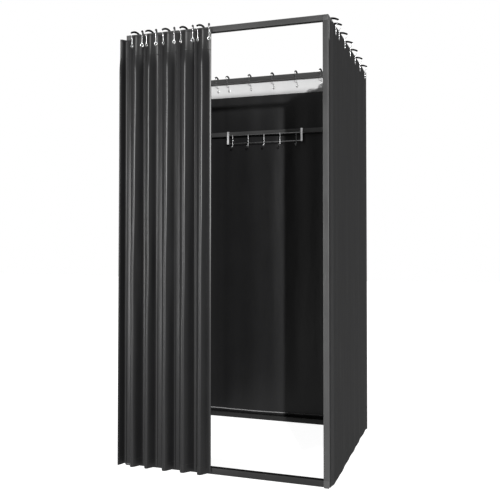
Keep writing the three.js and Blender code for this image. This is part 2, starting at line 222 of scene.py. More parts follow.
def cloth_material(name, dark, light, roughness, seams=((), (), ()), weave=0.0007, gloss=0.23):
    """Woven cloth. Seams are distances from its bottom, its top and its two sides.

    UV "Near" counts metres from the left and bottom edges and "Far" from the others.
    """
    n = new_material(name)
    near = n.add("ShaderNodeUVMap", uv_map="Near").outputs["UV"]
    far = n.add("ShaderNodeUVMap", uv_map="Far").outputs["UV"]
    left, bottom = n.add("ShaderNodeSeparateXYZ", {0: near}).outputs[:2]
    right, top = n.add("ShaderNodeSeparateXYZ", {0: far}).outputs[:2]

    warp = n.math("ABSOLUTE", n.math("SINE", n.math("MULTIPLY", left, math.pi / weave)))
    weft = n.math("ABSOLUTE", n.math("SINE", n.math("MULTIPLY", bottom, math.pi / weave)))
    threads = n.math("MAXIMUM", warp, weft)
    slubs = n.noise(near, detail=2.0, stretch=(900, 25, 1))
    patches = n.noise(near, scale=6.0, detail=4.0)
    tone = n.math("ADD", n.math("MULTIPLY", slubs, 0.45), n.math("MULTIPLY", patches, 0.4))
    tone = n.math("ADD", tone, n.math("MULTIPLY", threads, 0.15))
    colour = n.mix(n.band(tone, TONE_BAND), dark, light)
    creases = n.noise(near, detail=3.0, roughness=0.45, stretch=(7, 1.6, 1))
    normal = n.bump(creases, strength=0.5, distance=0.006)

    side = n.math("MINIMUM", left, right)
    lines = [(bottom, place, left) for place in seams[0]]
    lines += [(top, place, left) for place in seams[1]]
    lines += [(side, place, bottom) for place in seams[2]]
    stitches = None
    for across, place, along in lines:
        away = n.math("ABSOLUTE", n.math("SUBTRACT", across, place))
        thread = n.band(away, THREAD_EDGE, 1.0, 0.0)
        dash = n.math("LESS_THAN", n.math("FRACT", n.math("DIVIDE", along, STITCH)), STITCH_SHARE)
        groove = n.band(away, GROOVE_EDGE, 1.0, 0.0)
        line = n.math("SUBTRACT", n.math("MULTIPLY", thread, dash), n.math("MULTIPLY", groove, GROOVE_DEPTH))
        stitches = line if stitches is None else n.math("ADD", stitches, line)
    if stitches is not None:
        normal = n.bump(stitches, strength=0.9, distance=0.0006, normal=normal)
        shows = n.math("MULTIPLY", n.math("MAXIMUM", stitches, 0.0), THREAD_SHOWS)
        thread_colour = tuple(min(1, THREAD_LIGHT * level) for level in light[:3]) + (1,)
        colour = n.mix(shows, colour, thread_colour)

    normal = n.bump(threads, strength=0.35, distance=0.00006, normal=normal)
    facing = n.add("ShaderNodeLayerWeight", {"Blend": 0.5}).outputs["Facing"]
    rough = n.band(facing, GRAZING, roughness, MATT)
    n.set(Base_Color=colour, Roughness=rough, Normal=normal, Specular_IOR_Level=gloss)
    return n.owner


def paint_material(name, dark, light, gloss):
    """Satin paint with orange peel, and a few places where it has worn lighter and duller."""
    n = new_material(name)
    place = n.place()
    cloud = n.noise(place, scale=7.0, detail=4.0)
    speck = n.noise(place, scale=420.0, detail=2.0)
    peel = n.noise(place, scale=700.0, detail=2.0)
    worn = n.noise(place, detail=5.0, roughness=0.7, stretch=(60, 60, 9))
    base = n.mix(n.band(cloud, MOST), grey(dark), grey(light))
    base = n.mix(n.band(worn, (0.66, 0.74)), base, WORN)
    rough = n.math("ADD", n.band(cloud, MOST, 0.33, 0.42), n.band(worn, (0.6, 0.75), 0.0, 0.12))
    normal = n.bump(peel, strength=0.12, distance=0.0004)
    normal = n.bump(speck, strength=0.05, distance=0.0005, normal=normal)
    n.set(Base_Color=base, Roughness=rough, Normal=normal, Specular_IOR_Level=gloss)
    return n.owner


def plastic_material():
    """Finely grained moulded plastic with a few scuffs."""
    n = new_material("moulded_plastic")
    place = n.place()
    grain = n.add("ShaderNodeTexVoronoi", {"Vector": place, "Scale": 900.0}).outputs["Distance"]
    cloud = n.noise(place, scale=30.0, detail=4.0)
    scuff = n.noise(place, detail=4.0, roughness=0.7, stretch=(120, 120, 30))
    base = n.mix(n.band(cloud, MOST), grey(0.030), grey(0.042))
    base = n.mix(n.band(scuff, (0.64, 0.75)), base, WORN)
    n.set(Base_Color=base, Roughness=n.band(cloud, MOST, 0.42, 0.55),
          Normal=n.bump(grain, strength=0.2, distance=0.0003))
    return n.owner


def rubber_material():
    """Black rubber with faint rings."""
    n = new_material("black_sleeve")
    place = n.place()
    cloud = n.noise(place, scale=160.0, detail=3.0)
    rings = n.noise(place, detail=2.0, stretch=(1400, 300, 300))
    base = n.mix(n.band(cloud, MOST), grey(0.003), grey(0.006))
    n.set(Base_Color=base, Roughness=n.band(cloud, MOST, 0.48, 0.62),
          Normal=n.bump(rings, strength=0.15, distance=0.0002), Specular_IOR_Level=0.03)
    return n.owner


def chrome_material(name, level, roughness):
    """Drawn wire with clouded plating."""
    n = new_material(name)
    place = n.place()
    drawn = n.noise(place, detail=3.0, stretch=(900, 900, 70))
    cloud = n.noise(place, scale=45.0, detail=4.0)
    base = n.mix(n.band(cloud, (0.35, 0.7)), (level, level, 1.01 * level, 1), grey(0.86 * level))
    rough = n.band(cloud, (0.3, 0.75), roughness, 1.9 * roughness)
    n.set(Base_Color=base, Roughness=rough, Normal=n.bump(drawn, strength=0.06, distance=0.0002), Metallic=1)
    return n.owner


HEM = 0.036
# Height of the light strip along the hem's top, a painted highlight where the hem catches light.
HEM_HIGHLIGHT_HEIGHT = 0.005
SIDE_HEM = 0.022
HEADER = 0.092
SEAM_INSET = 0.002
DARK_CLOTH, LIGHT_CLOTH = (0.006, 0.006, 0.0062, 1), (0.0098, 0.0098, 0.0102, 1)
CLOTH_ROUGHNESS = 0.33
curtain_seams = ([HEM - SEAM_INSET], [0.004, HEADER - 0.003], [SIDE_HEM - SEAM_INSET])
hem_seams = ([SEAM_INSET], [SEAM_INSET], [])
tape_seams = ([0.003, 0.0075], [0.004], [])
hem_highlight_seams = ([0.0012], [0.0012], [])
materials = {
    "paint": paint_material("satin_paint", dark=0.026, light=0.035, gloss=0.44),
    # The bottom rails take a darker copy of the same paint: painted shade for the dimmer light near the
    # floor.
    "shaded_low_paint": paint_material("low_rail_painted_shade", dark=0.008, light=0.012, gloss=0.27),
    "plastic": plastic_material(),
    "rubber": rubber_material(),
    "hook_chrome": chrome_material("hook_chrome", level=0.58, roughness=0.17),
    "strap_chrome": chrome_material("strap_chrome", level=0.86, roughness=0.34),
    # The rack's wires and hooks take the chrome darkened: painted shade for the dimmer reflections they
    # show.
    "rack_chrome": chrome_material("rack_chrome", level=0.27, roughness=0.24),
    "cloth": cloth_material("curtain_cloth", DARK_CLOTH, LIGHT_CLOTH, CLOTH_ROUGHNESS, curtain_seams),
    "hem": cloth_material("hem_cloth", DARK_CLOTH, LIGHT_CLOTH, CLOTH_ROUGHNESS, hem_seams),
    "tape": cloth_material("header_tape", grey(0.54), grey(0.63), 0.75, tape_seams, weave=0.0011),
    # A light grey strip on the hem's top edge: a painted highlight of the light the hem catches.
    "hem_highlight": cloth_material("hem_highlight_cloth", grey(0.16), grey(0.30), 0.7, hem_highlight_seams, weave=0.0009),
    "light_loop": cloth_material("light_webbing", grey(0.42), grey(0.52), 0.75, weave=0.0009),
    "loop": cloth_material("loop_webbing", grey(0.08), grey(0.12), 0.6, weave=0.0009, gloss=0.08),
}


def dress(piece, material, body=None):
    piece.data.materials.clear()
    piece.data.materials.append(materials[material])
    if body:
        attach(piece, body)
    return piece


def new_piece(name, mesh):
    piece = bpy.data.objects.new(name, mesh)
    bpy.context.scene.collection.objects.link(piece)
    return piece


def smooth_mesh(bm, name):
    """The finished mesh of a bmesh, with smooth faces."""
    mesh = bpy.data.meshes.new(name)
    bm.to_mesh(mesh)
    bm.free()
    for polygon in mesh.polygons:
        polygon.use_smooth = True
    return mesh


# Carried-over tubes and sockets: smooth along their rounded corners

SHARP = math.radians(40)
WELD_DISTANCE = 0.00001
SOCKET_ROUND = 0.0008


def smooth_by_angle():
    tree = bpy.data.node_groups.new("smooth_by_angle", "GeometryNodeTree")
    tree.interface.new_socket("Geometry", in_out="INPUT", socket_type="NodeSocketGeometry")
    tree.interface.new_socket("Geometry", in_out="OUTPUT", socket_type="NodeSocketGeometry")
    start, end = tree.nodes.new("NodeGroupInput"), tree.nodes.new("NodeGroupOutput")
    angle = tree.nodes.new("GeometryNodeInputMeshEdgeAngle")
    blunt = tree.nodes.new("FunctionNodeCompare")
    blunt.data_type, blunt.operation = "FLOAT", "LESS_EQUAL"
    blunt.inputs[1].default_value = SHARP
    faces = tree.nodes.new("GeometryNodeSetShadeSmooth")
    edges = tree.nodes.new("GeometryNodeSetShadeSmooth")
    faces.domain, edges.domain = "FACE", "EDGE"
    tree.links.new(start.outputs[0], faces.inputs["Geometry"])
    tree.links.new(faces.outputs[0], edges.inputs["Geometry"])
    tree.links.new(angle.outputs["Unsigned Angle"], blunt.inputs[0])
    tree.links.new(blunt.outputs[0], edges.inputs["Shade Smooth"])
    tree.links.new(edges.outputs[0], end.inputs[0])
    return tree


smoothing = smooth_by_angle()


def weld(piece):
    piece.modifiers.new("weld", "WELD").merge_threshold = WELD_DISTANCE


def smoothed(piece):
    weld(piece)
    piece.modifiers.new("smooth", "NODES").node_group = smoothing


def finish_node(node, material):
    node.data.materials.clear()
    node.data.materials.append(materials[material])
    smoothed(node)


for name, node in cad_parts.items():
    # Bottom rails get the darker copy of the paint, which is painted shade.
    if name.startswith("bottom_rail_"):
        finish_node(node, "shaded_low_paint")
    elif name.startswith(("post_", "top_rail_")) or name == "garment_bar":
        finish_node(node, "paint")
    elif name.startswith("bar_socket_"):
        weld(node)
        bevel = node.modifiers.new("bevel", "BEVEL")
        bevel.width, bevel.segments, bevel.angle_limit = SOCKET_ROUND, 3, SHARP
        finish_node(node, "plastic")


# Corner blocks

BLOCK_ROUND = 0.0016
STUB_REACH = 0.004
FOOT_INSET = 0.002
FOOT_ROUND = 0.0012
FOOT_SINK = 0.002
LIP_PROUD = 0.0008
LIP_BELOW = 0.0012
LIP_SINK = 0.001
LIP_ROUND = 0.0004


def add_box(bm, low_corner, high_corner, bevel=0, segments=4):
    centre = (Vector(low_corner) + Vector(high_corner)) / 2
    size = Vector(high_corner) - Vector(low_corner)
    verts = bmesh.ops.create_cube(bm, size=1)["verts"]
    for v in verts:
        v.co = Vector((v.co.x * size.x, v.co.y * size.y, v.co.z * size.z)) + centre
    if bevel:
        edges = list(dict.fromkeys(e for v in verts for e in v.link_edges))
        bmesh.ops.bevel(bm, geom=edges, offset=bevel, segments=segments, profile=0.5, affect="EDGES")


def corner_mesh(lower):
    """A block with rounded edges, a stub into each of the three tubes and, below, a foot with a lip."""
    bm = bmesh.new()
    half, tall = HALF_TUBE, (RAIL_HEIGHT if lower else TUBE) / 2
    stub, inner = half - WALL_AND_PLAY, tall - WALL_AND_PLAY
    up = 1 if lower else -1
    add_box(bm, (-half, -half, -tall), (half, half, tall), BLOCK_ROUND)
    add_box(bm, (0, -stub, -inner), (half + STUB_REACH, stub, inner))
    add_box(bm, (-stub, 0, -inner), (stub, half + STUB_REACH, inner))
    start, end = sorted((0, up * (tall + STUB_REACH)))
    add_box(bm, (-stub, -stub, start), (stub, stub, end))
    if lower:
        foot = half - FOOT_INSET
        lip = foot + LIP_PROUD
        add_box(bm, (-foot, -foot, -tall - FOOT), (foot, foot, -tall + FOOT_SINK), FOOT_ROUND, 3)
        add_box(bm, (-lip, -lip, -tall - LIP_BELOW), (lip, lip, -tall + LIP_SINK), LIP_ROUND, 2)
    return smooth_mesh(bm, "lower_corner" if lower else "upper_corner")


corner_posts = {"front": "front_left", "right": "front_right", "rear": "rear_right", "left": "rear_left"}
for lower in (False, True):
    mesh = corner_mesh(lower)
    for side, post in corner_posts.items():
        block = new_piece(("foot_block_" if lower else "cap_block_") + post, mesh.copy())
        block.location = world_point(side, -RAIL, -RAIL, FOOT + RAIL_HEIGHT / 2 if lower else RAIL_Z)
        block.rotation_euler.z = TURNS[side]
        smoothed(block)
        dress(block, "plastic", "frame")
        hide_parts(("bottom_corner_" if lower else "top_corner_") + post)


# Wires. A rounded end has a ring at each of END_BULGES, and is END_LENGTH of a radius long.

END_BULGES = (0.35, 0.75)
END_LENGTH = 0.8


def bezier(a, b, c, d, steps):
    """Points along a curve, without its first."""
    points = []
    for i in range(1, steps + 1):
        t = i / steps
        u = 1 - t
        points.append(tuple(u ** 3 * p + 3 * u * u * t * q + 3 * u * t * t * r + t ** 3 * s
                            for p, q, r, s in zip(a, b, c, d)))
    return points


def add_tube(bm, path, radius, sides=12, closed=False):
    """A round bar along a path of points, with rounded ends. radius is one for all or a list."""
    path = [Vector(p) for p in path]
    count = len(path)
    radii = radius if isinstance(radius, list) else [radius] * count
    tangents = []
    for i in range(count):
        before = path[(i - 1) % count] if closed else path[max(i - 1, 0)]
        after = path[(i + 1) % count] if closed else path[min(i + 1, count - 1)]
        tangents.append((after - before).normalized())
    across = tangents[0].orthogonal().normalized()
    rings = []
    stations = [(path[i], tangents[i], radii[i]) for i in range(count)]
    if not closed:
        for k in END_BULGES:
            bulge = math.sqrt(1 - k * k)
            start = path[0] - tangents[0] * radii[0] * END_LENGTH * k
            end = path[-1] + tangents[-1] * radii[-1] * END_LENGTH * k
            stations.insert(0, (start, tangents[0], radii[0] * bulge))
            stations.append((end, tangents[-1], radii[-1] * bulge))
    for place, tangent, size in stations:
        across = (across - tangent * across.dot(tangent)).normalized()
        other = tangent.cross(across)
        rings.append([bm.verts.new(place + size * (math.cos(2 * math.pi * j / sides) * across
                                                   + math.sin(2 * math.pi * j / sides) * other))
                      for j in range(sides)])
    pairs = list(zip(rings, rings[1:]))
    if closed:
        pairs.append((rings[-1], rings[0]))
    for a, b in pairs:
        for j in range(sides):
            bm.faces.new((a[j], a[(j + 1) % sides], b[(j + 1) % sides], b[j]))
    if not closed:
        bm.faces.new(list(reversed(rings[0])))
        bm.faces.new(rings[-1])


def mesh_from(name, build):
    bm = bmesh.new()
    build(bm)
    bmesh.ops.recalc_face_normals(bm, faces=bm.faces)
    return smooth_mesh(bm, name)


def flat_points(pairs):
    """Points given as (out, up) in the plane where out is -y."""
    return [(0, -out, up) for out, up in pairs]


# Curtain hooks, round the rail's middle. Front ones are turned, and their sleeves reach less far out.
SLEEVE_LOW = -0.006
SLEEVE_MIDDLE = 0.004
SLEEVE_CROWN = HALF_TUBE + 0.013
SLEEVE_PULL = 0.0065
SLEEVE_END_Z = HALF_TUBE + 0.0045
SLEEVE_SWELL = 0.007
SLEEVE_TAPER = 0.0008
SLEEVE_TAPER_ROWS = 6
TURNED_REACH, STRAIGHT_REACH = 0.031, 0.035
WIRE_PULL = 0.003
WIRE_KNEE = -0.014
WIRE_SHIN = -0.024
WIRE_LEAD_SHARE = 0.35
REAR_NEAR = 0.017
REAR_CROSS_START = -HALF_TUBE - 0.014
REAR_CROSS_END = -HALF_TUBE - 0.028
RING_STEPS = 24
LOOP_HALF = 0.0026
LOOP_THICKNESS = 0.0008
LOOP_SINK = 0.0006
LOOP_PROUD = 0.0007
LOOP_ROW = 0.003
LOOP_LENGTH = 0.03


def sleeve_end(turn):
    return (TURNED_REACH if turn else STRAIGHT_REACH), SLEEVE_END_Z


def sleeve_path(turn):
    leg = (HALF_TUBE + SLEEVE / 2 + HOOK_SEAT) / math.cos(turn)
    path = [(-leg, SLEEVE_LOW), (-leg, SLEEVE_MIDDLE), (-leg, HALF_TUBE)]
    return path + bezier((-leg, HALF_TUBE), (-leg, SLEEVE_CROWN),
                         (leg - SLEEVE_PULL, SLEEVE_CROWN + SLEEVE_PULL), sleeve_end(turn), steps=18)


def build_sleeve(turn):
    path = sleeve_path(turn)
    swells = [smooth_share(z, HALF_TUBE, HALF_TUBE + SLEEVE_SWELL) for _, z in path]
    radii = [(SLEEVE + (SLEEVE_ARCH - SLEEVE) * swell) / 2 for swell in swells]
    rows = SLEEVE_TAPER_ROWS
    radii[-rows:] = [SLEEVE_ARCH / 2 - SLEEVE_TAPER * k / rows for k in range(rows)]
    return lambda bm: add_tube(bm, flat_points(path), radii, sides=14)


def wire_path(turn, rear):
    """The wire from the sleeve's end to the ring, how far out the ring hangs, and its drop."""
    start = sleeve_end(turn)
    pulled = (start[0] + WIRE_PULL, 0)
    if not rear:
        out = (CLOTH_OFFSET + STANDOFF) / math.cos(turn)
        path = bezier(start, pulled, (out, WIRE_PULL), (out, WIRE_KNEE), steps=12)
        return path + [(out, WIRE_SHIN), (out, RING_RADIUS - RING_DROP)], out, RING_DROP
    out = STANDOFF - CLOTH_OFFSET
    path = bezier(start, pulled, (REAR_NEAR, 0), (REAR_NEAR, WIRE_KNEE), steps=10)
    path += bezier((REAR_NEAR, WIRE_KNEE), (REAR_NEAR, REAR_CROSS_START), (out, REAR_CROSS_START),
                   (out, REAR_CROSS_END), steps=12)
    return path + [(out, RING_RADIUS - REAR_RING_DROP)], out, REAR_RING_DROP


def build_wire(turn, rear):
    path, out, drop = wire_path(turn, rear)
    start = sleeve_end(turn)
    lead = [tuple(s + WIRE_LEAD_SHARE * (s - p) for s, p in zip(start, path[0]))]

    def build(bm):
        add_tube(bm, flat_points(lead + [start] + path), HOOK_WIRE / 2, sides=10)
        ring = [(RING_RADIUS * math.cos(a), -out, -drop + RING_RADIUS * math.sin(a))
                for a in (2 * math.pi * i / RING_STEPS for i in range(RING_STEPS))]
        add_tube(bm, ring, HOOK_WIRE / 2, sides=8, closed=True)
    return build


def build_loop(turn, rear):
    """A strip of webbing sewn to the cloth over the ring's lowest wire."""
    _, out, drop = wire_path(turn, rear)
    sign = -1 if rear else 1
    face = out - sign * (STANDOFF - CLOTH / 2 - LOOP_SINK)
    proud = out + sign * (HOOK_WIRE / 2 + LOOP_PROUD)
    foot = -drop - RING_RADIUS
    profile = [(face, -0.0042), (face, -0.0032), (face + sign * 0.001, -0.0024),
               (proud, -0.0012), (proud, 0.0012),
               (face + sign * 0.0012, 0.0026), (face, 0.0040), (face, 0.0060)]

    def build(bm):
        near_uv = bm.loops.layers.uv.new("Near")
        far_uv = bm.loops.layers.uv.new("Far")
        rows = [[bm.verts.new((x, -away, foot + up)) for x in (-LOOP_HALF, 0, LOOP_HALF)]
                for away, up in profile]
        for i, (a, b) in enumerate(zip(rows, rows[1:])):
            for j in (0, 1):
                made = bm.faces.new((a[j], a[j + 1], b[j + 1], b[j]))
                for loop, (x, z) in zip(made.loops, ((j, i), (j + 1, i), (j + 1, i + 1), (j, i + 1))):
                    loop[near_uv].uv = (x * LOOP_HALF, z * LOOP_ROW)
                    loop[far_uv].uv = ((2 - x) * LOOP_HALF, LOOP_LENGTH - z * LOOP_ROW)
    return build


hook_meshes = {}
for kind, turn, rear in (("front", HOOK_TURN, False), ("side", 0, False), ("rear", 0, True)):
    hook_meshes[kind] = (
        mesh_from(kind + "_sleeve", build_sleeve(turn)),
        mesh_from(kind + "_wire", build_wire(turn, rear)),
        mesh_from(kind + "_loop", build_loop(turn, rear)),
    )


def hang_hook(node, kind, side, rail_x, turn, body):
    """A hook's sleeve, wire and loop, which take the place of the hook's node."""
    looks = (("sleeve", "rubber", "plastic"), ("wire", "hook_chrome", "hook_chrome"),
             ("loop", "light_loop" if kind == "rear" else "loop", "cloth"))
    made = []
    for mesh, (word, material, slot_name) in zip(hook_meshes[kind], looks):
        piece = new_piece(node + "_" + word, mesh)
        piece.location = world_point(side, rail_x, -RAIL, RAIL_Z)
        piece.rotation_euler.z = TURNS[side] + turn
        made.append(dress(piece, material, body))
    thick = made[2].modifiers.new("thickness", "SOLIDIFY")
    thick.thickness, thick.offset = LOOP_THICKNESS, 0
    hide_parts(node)


for i, share in enumerate(FRONT_SHARES):
    turn = HOOK_TURN if i % 2 else -HOOK_TURN
    node = "front_hook_%02d" % (i + 1)
    rail_x = share * SPAN - (CLOTH_OFFSET + STANDOFF) * math.tan(turn)
    hang_hook(node, "front", "front", rail_x, turn, node if i else "frame")
for i, share in enumerate(SIDE_SHARES):
    fixed = i == len(SIDE_SHARES) - 1
    for side, sign in (("right", 1), ("left", -1)):
        node = "%s_hook_%d" % (side, i + 1)
        hang_hook(node, "side", side, sign * share * SPAN, 0, "frame" if fixed else node)
for i, share in enumerate(REAR_SHARES):
    node = "rear_hook_%d" % (i + 1)
    hang_hook(node, "rear", "rear", -share * SPAN, math.pi, node if i else "frame")


# Cloth

SHARP_TURN = (0.12, 0.35)
SHARP_LOSS = 0.8


def catmull(points, steps):
    """A smooth line through points, with steps pieces between each two."""
    out = []
    for i in range(len(points) - 1):
        p0, p1 = points[max(i - 1, 0)], points[i]
        p2, p3 = points[i + 1], points[min(i + 2, len(points) - 1)]
        for k in range(steps):
            t = k / steps
            out.append(tuple(
                0.5 * (2 * b + (c - a) * t + (2 * a - 5 * b + 4 * c - d) * t * t
                       + (3 * b - a - 3 * c + d) * t ** 3)
                for a, b, c, d in zip(p0, p1, p2, p3)))
    out.append(tuple(points[-1]))
    return out


def shifted(line, offset):
    """A line moved to its out side by offset, square to itself, and by less where it turns sharply."""
    last = len(line) - 1
    turns = [0.0] * (last + 1)
    for i in range(1, last):
        a, p, b = line[i - 1], line[i], line[i + 1]
        turn = math.atan2(b[1] - p[1], b[0] - p[0]) - math.atan2(p[1] - a[1], p[0] - a[0])
        turns[i] = abs(math.remainder(turn, 2 * math.pi))
    moved = []
    for i, (x, out) in enumerate(line):
        a, b = line[max(i - 1, 0)], line[min(i + 1, last)]
        dx, dy = b[0] - a[0], b[1] - a[1]
        size = math.hypot(dx, dy) or 1
        sharp = max(turns[max(i - 3, 0):i + 4])
        reach = offset * (1 - SHARP_LOSS * smooth_share(sharp, *SHARP_TURN))
        moved.append((x - dy / size * reach, out + dx / size * reach))
    return moved


def cloth_sheet(name, side, lines, levels, thickness, droop=None):
    """A sheet from one line per level. A line's points are (along, out) of the side's cloth plane."""
    mesh = bpy.data.meshes.new(name)
    count = len(lines[0])
    verts = [world_point(side, x, -RAIL - CLOTH_OFFSET - out, z - (droop(x, z) if droop else 0))
             for line, z in zip(lines, levels) for x, out in line]
    faces = [(r * count + c, r * count + c + 1, (r + 1) * count + c + 1, (r + 1) * count + c)
             for r in range(len(levels) - 1) for c in range(count - 1)]
    mesh.from_pydata(verts, [], faces)
    along = [0]
    for a, b in zip(lines[0], lines[0][1:]):
        along.append(along[-1] + math.dist(a, b))
    near, far = mesh.uv_layers.new(name="Near"), mesh.uv_layers.new(name="Far")
    for loop in mesh.loops:
        row, column = divmod(loop.vertex_index, count)
        u, v = along[column], levels[row] - levels[0]
        near.data[loop.index].uv = (u, v)
        far.data[loop.index].uv = (along[-1] - u, levels[-1] - levels[0] - v)
    for polygon in mesh.polygons:
        polygon.use_smooth = True
    piece = new_piece(name, mesh)
    thick = piece.modifiers.new("thickness", "SOLIDIFY")
    thick.thickness, thick.offset = thickness, 0
    return piece


# Front curtain. A fold's points are shares of its width and of its crest. The cloth keeps its header form
# for HELD below its top and has its body form from EASE below that on. Tucks lie behind the folds.
HEADER_FOLD = [(0, 0), (0.15, 0.42), (0.29, 0.92), (0.5, 1), (0.8, 0.4), (1, 0)]
BODY_FOLD = [(0, 0.12), (0.12, 0.58), (0.26, 0.94), (0.5, 1), (0.74, 0.6), (1, 0.04)]
EDGE_FOLD = [(0, 0.55), (0.14, 0.84), (0.34, 1), (0.6, 0.78), (0.82, 0.4), (1, 0.04)]
EDGE_START, EDGE_END = -1.045 * HALF, -0.999 * HALF
LEAD = -0.105 * HALF
HEADER_CREST = 0.0165
BODY_CREST = 0.0255
CREST_GROWTH = 0.0110
CREST_CHANGE = 0.05
EDGE_LOSS = 0.005
FALL = (0.2, 1.9)
VALLEY = 0.008
HELD = 0.070
EASE = 0.085
HEADER_TUCK, BODY_TUCK = 0.040, 0.038
TUCK_EDGE = 0.0055
TUCK_RUN = 0.52
TUCK_GAP = 0.003
DROOP = 0.011
DROOP_RUN = 0.012
DROOP_HEIGHT = 0.25
front_anchors = [share * SPAN - STANDOFF * math.sin(HOOK_TURN if i % 2 else -HOOK_TURN)
                 for i, share in enumerate(FRONT_SHARES)]


def fold_points(shares, start, end, depth):
    return [(start + along * (end - start), out * depth) for along, out in shares]


def tuck_points(foot, following, tuck):
    """The cloth from a fold's foot on behind the following fold, and back to where that one starts."""
    inner, edge, half = following + tuck, following - TUCK_EDGE, TUCK_GAP / 2
    run = TUCK_RUN * (edge - foot)
    return [(foot + run / 2, -0.6 * VALLEY), (foot + run, -VALLEY), (inner - half, -VALLEY),
            (inner, half - VALLEY), (inner - half, TUCK_GAP - VALLEY), (edge + half, TUCK_GAP - VALLEY),
            (edge, TUCK_GAP + half - VALLEY), (edge + half, 2 * TUCK_GAP - VALLEY)]


def front_controls(z):
    """The front curtain's line at a height: folds held flat by the hooks above, full below."""
    header = smooth_share(z, CURTAIN_TOP - HELD - EASE, CURTAIN_TOP - HELD)

    def both(body_value, header_value):
        return body_value + header * (header_value - body_value)

    sway = 0.0012 * math.sin(5.1 * z) + 0.0009 * math.sin(11.3 * z + 1)
    fall = smooth_share(CURTAIN_TOP - z, *FALL)
    crest = both(BODY_CREST + CREST_GROWTH * fall, HEADER_CREST)
    fold = [tuple(both(p, q) for p, q in zip(a, b)) for a, b in zip(BODY_FOLD, HEADER_FOLD)]
    line = fold_points(EDGE_FOLD, EDGE_START, EDGE_END, crest - EDGE_LOSS * fall)
    foot = EDGE_END
    for i in range(0, len(front_anchors), 2):
        start = front_anchors[i]
        line += tuck_points(foot, start, both(BODY_TUCK, HEADER_TUCK))
        foot = front_anchors[i + 1]
        free = (1 - header) * sway * math.cos(1.7 * i)
        deep = crest * (1 + (1 - header) * CREST_CHANGE * math.sin(2.3 * z + 1.9 * i))
        points = fold_points(fold, start, foot, deep)
        line += [points[0]] + [(x + free, out) for x, out in points[1:-1]] + [points[-1]]
    return line + [(LEAD, -(LEAD - foot) * math.tan(HOOK_TURN))]


def corner_droop(x, z):
    """How far the front curtain's free upper corner, left of its first hook, hangs down."""
    near_edge = smooth_share(front_anchors[0] - x, 0, DROOP_RUN)
    return DROOP * near_edge * smooth_share(z, CURTAIN_TOP - DROOP_HEIGHT, CURTAIN_TOP)


# The other curtains. A free end stops EDGE_GAP short of the cage's corner and turns out from
# END_OUT_STOP on, both counted from that corner.
EDGE_GAP = 0.012
REAR_WAVE_ENDS = (0.36, 0.45)
REAR_WAVE_MIDDLE, REAR_WAVE = 0.006, 0.012
END_IN = 0.0055
END_OUT = 0.0075
END_OUT_STOP = 0.062
SWELL = 0.012
FREE_HEIGHT = 0.45
LINE_PIECES = 8


def end_bend(side, x):
    """How a drawn-out curtain's free ends turn: in to the front post and out behind, or a broad wave."""
    if side == "rear":
        inner = 1 - smooth_share(abs(x), *REAR_WAVE_ENDS)
        return inner * (REAR_WAVE_MIDDLE - REAR_WAVE * math.sin(6.3 * (x + 0.05)))
    at = x if side == "right" else -x
    outward = 1 - smooth_share(at, EDGE_GAP - HALF, END_OUT_STOP - HALF)
    return END_IN * smooth_share(at, SPAN, HALF) - END_OUT * outward


def spread_controls(side, hooks, start, end, phase):
    """A drawn-out curtain's line: it swells a little between its hooks."""
    marks = [start] + hooks + [end]

    def controls(z):
        free = 1 - smooth_share(z, CURTAIN_TOP - FREE_HEIGHT, CURTAIN_TOP)
        bent = free if side == "rear" else 1
        line = []
        for a, b in zip(marks, marks[1:]):
            held = a != start and b != end
            for k in range(LINE_PIECES):
                share = k / LINE_PIECES
                x = a + share * (b - a)
                out = SWELL * (b - a) * math.sin(math.pi * share) ** 2 if held else 0
                wave = 0.0007 * math.sin(17 * x + phase) + 0.0004 * math.sin(41 * x + 2 * phase + 1.5 * z)
                line.append((x, out + end_bend(side, x) * bent + free * wave))
        return line + [(end, end_bend(side, end) * bent)]
    return controls


RIM = 0.002
EASE_ROWS = 8
LEVEL_MATCH = 0.0001
LAYER_GAP = 0.0001


def make_curtain(side, controls, steps, levels, droop=None):
    """A curtain with its header tape and, on all sides but the front, its hem and a light strip along the
    hem's top, which is a painted highlight.
    """
    low, top = levels[0], levels[-1]
    lines = [catmull(controls(z), steps) for z in levels]
    curtain = cloth_sheet("drape_" + side, side, lines, levels, CLOTH, droop)
    inside = -(CLOTH + LAYER_GAP)
    made = [curtain]
    strips = [("tape", CURTAIN_TOP - HEADER, top, inside, TAPE_THICKNESS)]
    if side != "front":
        strips.append(("hem", low, low + HEM, inside, CLOTH))
        # The light strip at the hem's top is a painted highlight.
        strips.append(("hem_highlight", low + HEM - HEM_HIGHLIGHT_HEIGHT, low + HEM, 2 * inside, TAPE_THICKNESS))
    for word, start, end, offset, thickness in strips:
        some = [z for z in levels if start - LEVEL_MATCH <= z <= end + LEVEL_MATCH]
        strip_lines = [shifted(catmull(controls(z), steps), offset) for z in some]
        strip = cloth_sheet(word + "_" + side, side, strip_lines, some, thickness, droop)
        made.append(dress(strip, word))
    dress(curtain, "cloth")
    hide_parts("curtain_" + side)
    return made


def level_list(rows, low=CURTAIN_LOW, top=CURTAIN_TOP):
    """Heights of a curtain's rows: those of its strips, those where the form eases, and even ones."""
    bottom, header = low + HEM, CURTAIN_TOP - HEADER
    marks = [low, low + RIM, low + HEM / 2, bottom - HEM_HIGHLIGHT_HEIGHT, bottom]
    marks += [header, header + HEADER / 3, top - HEADER / 3, top - RIM, top]
    marks += [bottom + (header - bottom) * k / rows for k in range(1, rows)]
    marks += [header - EASE * k / EASE_ROWS for k in range(1, EASE_ROWS + 1)]
    return sorted({round(m, 5) for m in marks})


